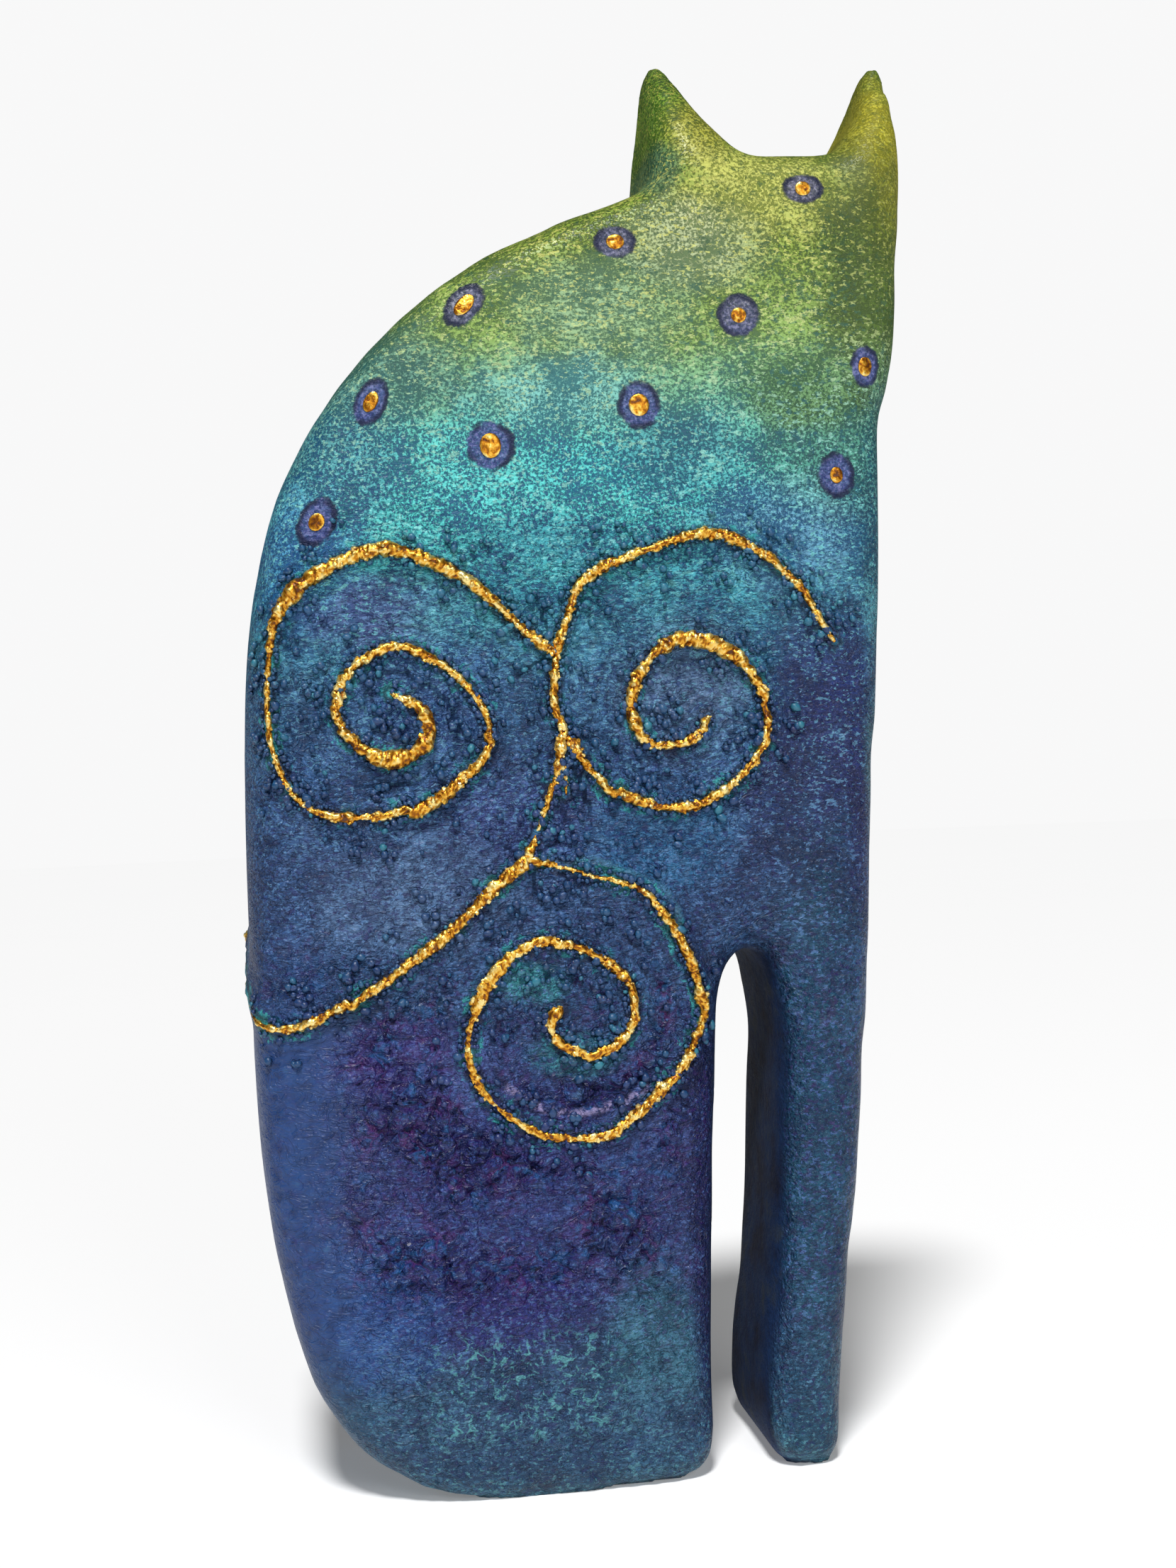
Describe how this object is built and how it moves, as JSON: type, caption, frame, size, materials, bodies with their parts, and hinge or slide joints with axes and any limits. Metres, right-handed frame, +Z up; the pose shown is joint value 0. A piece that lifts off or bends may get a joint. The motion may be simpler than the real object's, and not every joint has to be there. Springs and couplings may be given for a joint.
{
  "type": "cat sculpture",
  "caption": "Tall ceramic cat seated in profile, a thick slab with rounded edges, pointed ears and low raised scrolls. It stands on its flat underside as an ornament.",
  "frame": {"origin": "centre of the bounding box on the plane that the underside stands on", "axes": "+Z up towards the ear tips; +X towards the chest and front legs; -Y towards the face with the raised scrolls"},
  "size_m": [0.1852, 0.0712, 0.3777],
  "materials": {
    "painted_ceramic": "satin",
    "gilding": "satin"
  },
  "bodies": {
    "root": {"cat_body": "painted_ceramic"}
  },
  "joints": []
}
